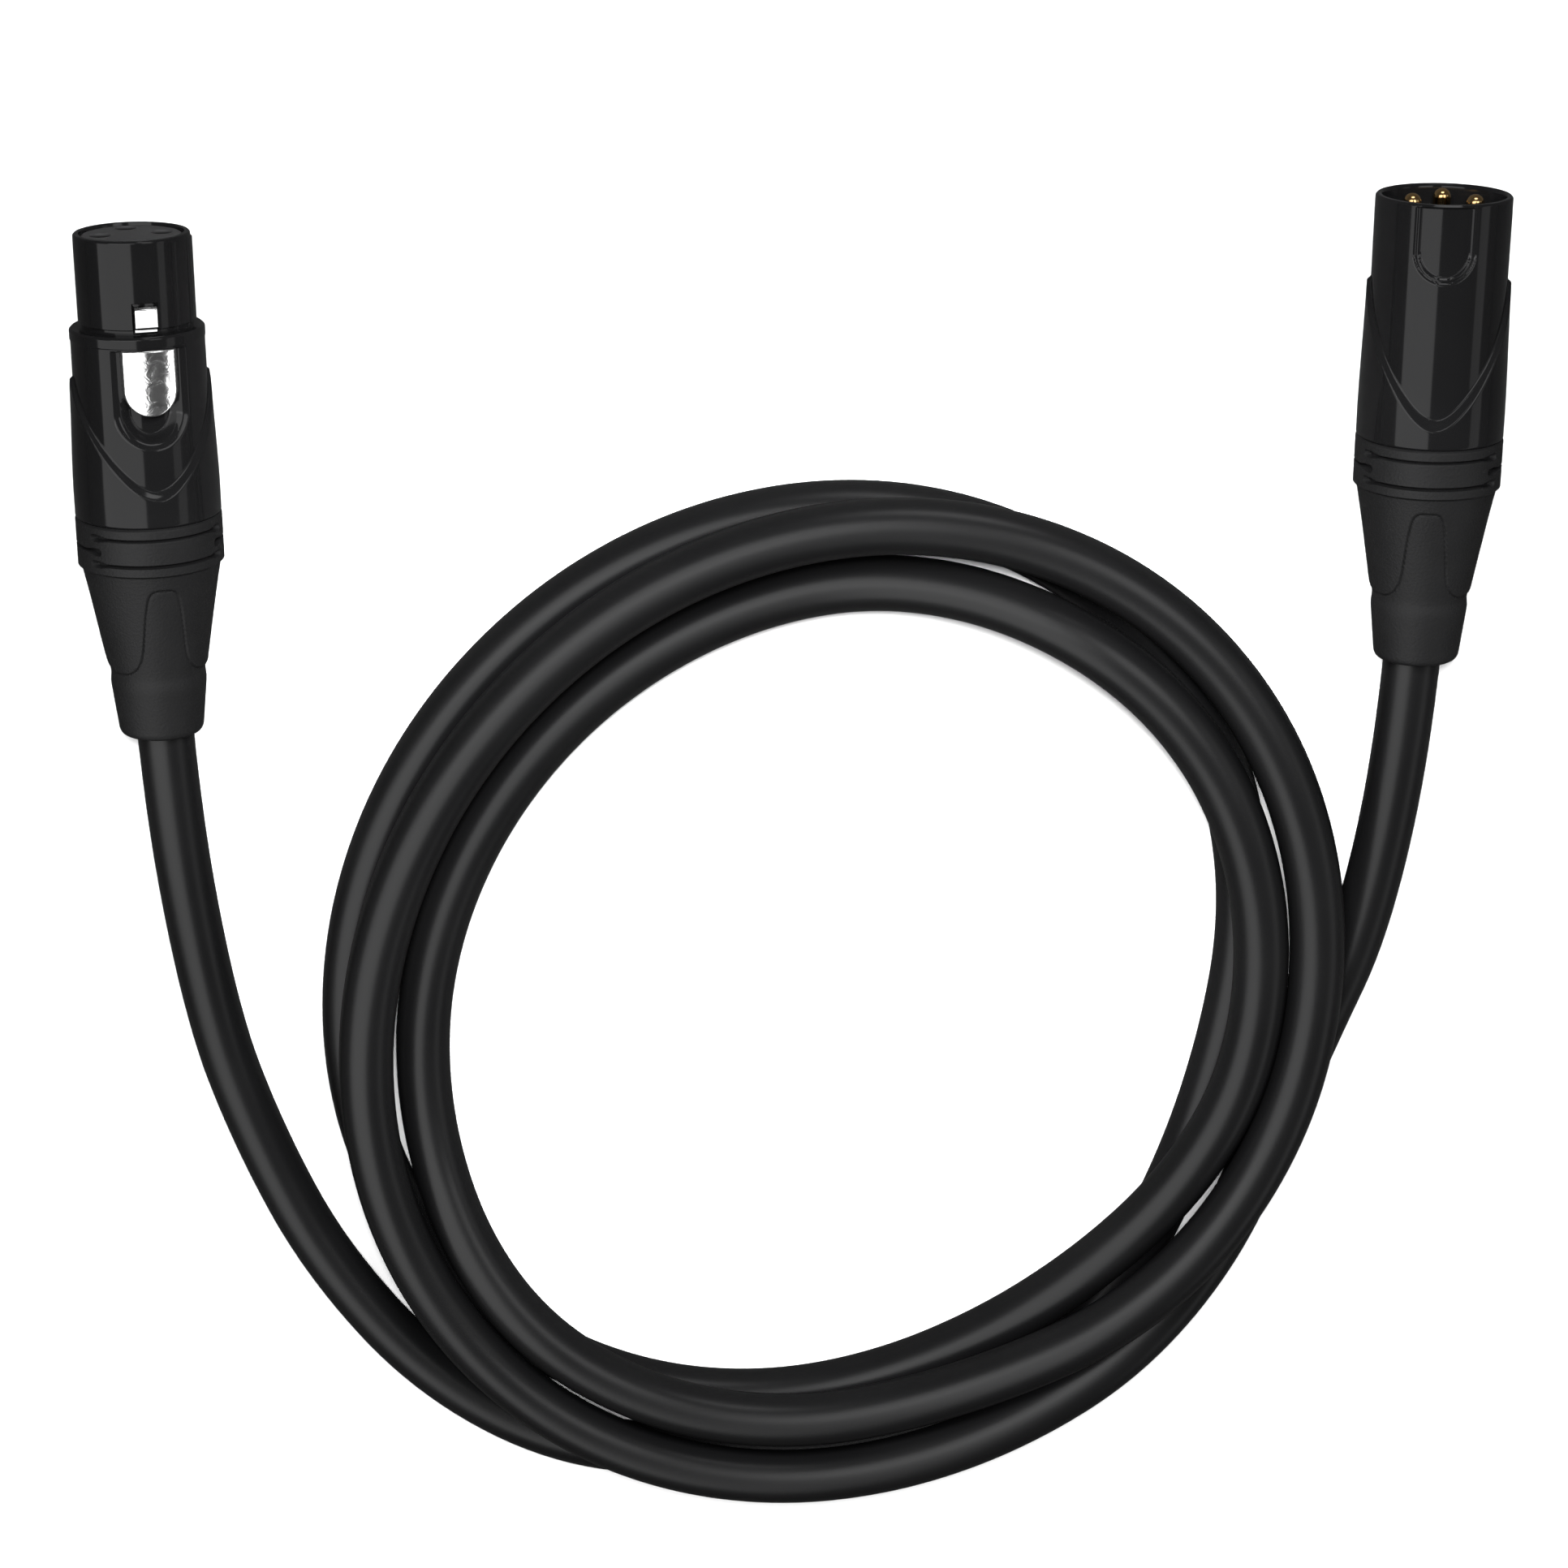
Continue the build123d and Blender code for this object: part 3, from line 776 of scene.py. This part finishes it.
def makeSleeve(side, start):
    v = boot
    end = start + v["sleeveLength"]
    depths = spaced(*((start + depth, step) for depth, step in v["sleeveRows"]), (end - 1.2, 0.12), (end, 1))
    bore = v["cableBore"]
    inner = ((end, v["mouth"]), (end - 9.0, bore), (start, bore), (start, v["bandBoreRear"]))
    sleeve = windSkin(side + "_boot_skin", side, depths, sleeveOuter(start), inner)
    return settle(sleeve, side + "_boot", "black_rubber", side + "_boot_sleeve")


for side, shell in (("female", femaleShell), ("male", maleShell)):
    makeBand(side, shell["length"])
    makeSleeve(side, shell["length"] + boot["band"])
print("boots wound")


# the latch: a hook, an arm and a thumb tab that follows the housing's curve

latch = {
    "tabWidth": 7.3,
    "tabStart": 14.55,
    "tabEnd": 23.7,
    "tabRadius": 9.30,
    "tabThickness": 1.5,
    "edgeRound": 0.28,
    "tabColumns": 40,
    "hookWidth": 3.1,
    "hookEdge": 0.12,
    # depth and radius of the hook and arm, seen from the side
    "profile": ((8.75, 6.2), (8.75, 8.35), (9.1, 8.72), (11.6, 8.72), (11.75, 8.1), (11.85, 7.95),
                (12.35, 7.95), (12.45, 6.85), (14.5, 6.85), (14.9, 8.1), (22.6, 8.1), (23.2, 6.9),
                (25.8, 6.9), (26.2, 6.4), (26.0, 5.3), (23.7, 5.3), (22.6, 7.4), (15.2, 7.4), (14.6, 6.2)),
}


def turnFacesOut(piece):
    builder = bmesh.new()
    builder.from_mesh(piece.data)
    bmesh.ops.recalc_face_normals(builder, faces=builder.faces)
    builder.to_mesh(piece.data)
    builder.free()


def makeTab():
    v = latch
    front, latchWay, rightWay, back = axesOf("female")
    half = v["tabWidth"] / 2
    bend = v["tabEnd"] - half
    points, across = [], v["tabColumns"]
    depths = np.array(spaced((v["tabStart"], 0.04), (v["tabStart"] + 0.32, 0.25), (bend, 0.18),
                             (v["tabEnd"] - 0.4, 0.04), (v["tabEnd"] - 0.02, 1)))
    for d in depths:
        reach = half if d < bend else math.sqrt(max(half * half - (d - bend) ** 2, 0.01))
        for i in range(across + 1):
            x = -reach * math.cos(math.pi * i / across)
            inward = min(reach - abs(x), d - v["tabStart"], half - math.hypot(x, max(d - bend, 0)))
            nearEdge = 1 - min(max(inward, 0) / v["edgeRound"], 1)
            fall = v["edgeRound"] * (1 - math.sqrt(1 - nearEdge ** 2))
            points.append((d, x, v["tabRadius"] - fall))
    shown = len(points)  # the underside repeats the points of the top, lower down
    under = v["tabRadius"] - v["tabThickness"]
    points += [(d, x, r - v["tabThickness"] if r > v["tabRadius"] - 0.2 else under) for d, x, r in points]
    placed = []
    for d, x, r in points:
        lift = math.sqrt(r * r - x * x)
        placed.append(front + back * d + rightWay * x + latchWay * lift)
    faces = []
    rows, row = len(depths), across + 1
    for i in range(rows - 1):
        for j in range(across):
            a, b, c, e = i * row + j, (i + 1) * row + j, (i + 1) * row + j + 1, i * row + j + 1
            faces.append((a, b, c, e))
            faces.append((shown + e, shown + c, shown + b, shown + a))
    rim = [i * row for i in range(rows)] + [(rows - 1) * row + j for j in range(1, across)]
    rim += [i * row + across for i in range(rows - 1, -1, -1)] + [j for j in range(across - 1, 0, -1)]
    for a, b in zip(rim, rim[1:] + rim[:1]):
        faces.append((b, a, shown + a, shown + b))
    return newPiece("latch_tab", placed, faces, 50)


def makeHook():
    v = latch
    front, latchWay, rightWay, back = axesOf("female")
    half = v["hookWidth"] / 2
    count = len(v["profile"])
    points = [front + back * d + rightWay * x + latchWay * r for x in (-half, half) for d, r in v["profile"]]
    faces = [tuple(range(count)), tuple(range(2 * count - 1, count - 1, -1))]
    faces += [(i, i + count, (i + 1) % count + count, (i + 1) % count) for i in range(count)]
    piece = newPiece("latch_hook", points, faces, 30)
    turnFacesOut(piece)
    bevel = piece.modifiers.new("soft edges", "BEVEL")
    bevel.width = v["hookEdge"] * mm
    bevel.segments = 3
    bevel.limit_method = "ANGLE"
    bevel.angle_limit = math.radians(25)
    return piece


latchTab = settle(makeTab(), "latch", "chrome_latch", "latch_lever")
latchHook = settle(makeHook(), "latch", "chrome_latch")


# the spring under the tab; the real spring shortens as the latch is pressed
spring = {
    "coilRadius": 1.2,
    "wireRadius": 0.15,
    "pitch": 0.62,
    "depth": 17.5,
    "foot": 5.2,
    "height": 1.98,
    "pressed": 0.64,  # share of its length left when the latch is fully pressed
    "aroundTurn": 28,
    "aroundWire": 10,
}


def makeSpring():
    v = spring
    front, latchWay, rightWay, back = axesOf("female")
    aroundTurn, aroundWire = v["aroundTurn"], v["aroundWire"]
    steps = round(v["height"] / v["pitch"] * aroundTurn)
    seat = front + back * v["depth"]
    points, faces = [], []
    for i in range(steps + 1):
        turn = 2 * math.pi * i / aroundTurn
        out = rightWay * math.cos(turn) + back * math.sin(turn)
        middle = seat + latchWay * (v["foot"] + v["height"] * i / steps) + out * v["coilRadius"]
        for j in range(aroundWire):
            a = 2 * math.pi * j / aroundWire
            points.append(middle + (out * math.cos(a) + latchWay * math.sin(a)) * v["wireRadius"])
    for i in range(steps):
        low, high = i * aroundWire, (i + 1) * aroundWire
        for j in range(aroundWire):
            k = (j + 1) % aroundWire
            faces.append((low + j, low + k, high + k, high + j))
    faces.append(tuple(range(aroundWire)))
    faces.append(tuple(range((steps + 1) * aroundWire - 1, steps * aroundWire - 1, -1)))
    piece = newPiece("latch_coil_spring", points, faces)
    turnFacesOut(piece)
    settle(piece, "cable_and_shells", "tinned_steel", "latch_spring")
    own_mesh(piece)


makeSpring()
print("latch shaped")


# stage: floor, sky and soft lights

stage = {
    "floorSize": 6.0,
    "floorTone": 0.90,
    "floorInGloss": 0.04,  # how bright the floor looks in the glossy shells
    "sky": 0.50,
    "skyInGloss": 0.05,
    "softbox": {"place": (-0.52, -0.33, 0.53), "size": (1.0, 0.75), "glow": 1.7},
    "rightStrip": {"place": (0.95, -0.30, 0.45), "size": (1.5, 0.3), "glow": 0.6,
                   "aim": (0, -0.05, 0)},
    "frontCard": {"place": (0.10, 0.42, 0.16), "size": (0.22, 0.12), "glow": 3.0,
                  "aim": (0.09, 0.04, 0.01)},
    "leftCard": {"place": (-0.20, 0.17, 0.5), "size": (0.5, 0.35), "glow": 2.2},
    "rightCard": {"place": (0.35, 0.17, 0.5), "size": (0.3, 0.35), "glow": 2.4},
    # these three light only the latch
    "hookCard": {"place": (0.18, -0.07, 0.50), "size": (0.30, 0.30), "glow": 1.7},
    "tabCard": {"place": (0.04, -0.08, 0.53), "size": (0.125, 0.50), "glow": 1.7},
    "tabSide": {"place": (0.47, -0.087, 0.225), "size": (0.50, 0.22), "glow": 1.7,
                "aim": (-0.086, 0.014, 0.018)},
    # spots for the floor and the soft shadows
    "wash": {"place": (0.0, 0.20, 0.62), "aim": (0.0, -0.05, 0.0), "power": 8.0, "angle": 120, "blend": 0.3},
    "fill": {"place": (0.0, 0.20, 0.62), "aim": (0.0, 0.045, 0.0), "power": 14.0, "angle": 52, "blend": 0.6},
    "back": {"place": (0.01, 0.12, 0.24), "aim": (0.006, -0.160, 0.0), "power": 8.0, "angle": 75,
             "blend": 0.6},
    "spotSize": 0.05,
}


def aimAt(thing, place, target):
    thing.location = place
    thing.rotation_euler = (Vector(target) - Vector(place)).to_track_quat("-Z", "Y").to_euler()


def makeFloor():
    mesh = bpy.data.meshes.new("floor")
    edge = stage["floorSize"] / 2
    corners = [(-edge, -edge, 0), (edge, -edge, 0), (edge, edge, 0), (-edge, edge, 0)]
    mesh.from_pydata(corners, [], [(0, 1, 2, 3)])
    floor = bpy.data.objects.new("floor", mesh)
    scene.collection.objects.link(floor)
    material, tree, shader = newMaterial("floor", {"Roughness": 0.9, "Specular IOR Level": 0.0})
    path = tree.nodes.new("ShaderNodeLightPath")
    bright, dim = stage["floorTone"], stage["floorTone"] * stage["floorInGloss"]
    blendColours(tree, shader, path.outputs["Is Glossy Ray"], (bright,) * 3, (dim,) * 3)
    mesh.materials.append(material)


# a softbox that shows in the glossy surfaces, of a given brightness whatever its size
# it lights only the given piece, or everything if there is none
def makeSoftbox(name, values, onlyPiece=None):
    data = bpy.data.lights.new(name, "AREA")
    data.shape = "RECTANGLE"
    data.size, data.size_y = values["size"]
    data.energy = values["glow"] * math.pi * data.size * data.size_y
    light = bpy.data.objects.new(name, data)
    scene.collection.objects.link(light)
    light.location = values["place"]
    if "aim" in values:
        aimAt(light, values["place"], values["aim"])
    light.visible_camera = False
    light.visible_diffuse = False
    if onlyPiece:
        lit = bpy.data.collections.new(name + " lights")
        lit.objects.link(onlyPiece)
        light.light_linking.receiver_collection = lit


# a spot, left out of the reflections
def makeSpot(name, values):
    data = bpy.data.lights.new(name, "SPOT")
    data.energy = values["power"]
    data.spot_size = math.radians(values["angle"])
    data.spot_blend = values["blend"]
    data.shadow_soft_size = stage["spotSize"]
    light = bpy.data.objects.new(name, data)
    scene.collection.objects.link(light)
    aimAt(light, values["place"], values["aim"])
    light.visible_glossy = False
    light.visible_camera = False


def makeSky():
    sky = bpy.data.worlds.new("sky")
    sky.use_nodes = True
    tree = sky.node_tree
    back = tree.nodes["Background"]
    back.inputs["Color"].default_value = (1, 1, 1, 1)
    path = tree.nodes.new("ShaderNodeLightPath")
    spread = tree.nodes.new("ShaderNodeMapRange")
    spread.inputs["To Min"].default_value = stage["sky"]
    spread.inputs["To Max"].default_value = stage["skyInGloss"]
    tree.links.new(path.outputs["Is Glossy Ray"], spread.inputs["Value"])
    tree.links.new(spread.outputs["Result"], back.inputs["Strength"])
    scene.world = sky


makeFloor()
makeSoftbox("left softbox", stage["softbox"])
makeSoftbox("right strip", stage["rightStrip"])
makeSoftbox("front card", stage["frontCard"])
makeSoftbox("hook card", stage["hookCard"], latchHook)
makeSoftbox("tab card", stage["tabCard"], latchTab)
makeSoftbox("tab side card", stage["tabSide"], latchTab)
makeSoftbox("left card", stage["leftCard"])
makeSoftbox("right card", stage["rightCard"])
makeSpot("floor wash", stage["wash"])
makeSpot("floor fill", stage["fill"])
makeSpot("shadow spot", stage["back"])
makeSky()
scene.view_settings.view_transform = "Standard"
print("stage lit")


# the pieces of the connector on the cable's far end, gathered last, once they exist
onCable = [bpy.data.objects[name] for name in ("male_housing", "male_boot_band", "male_boot_skin")]
onCable += [frame["nodes"][name] for name in
            ("male_insert", "male_pin_1", "male_pin_2", "male_pin_3", "male_chuck")]
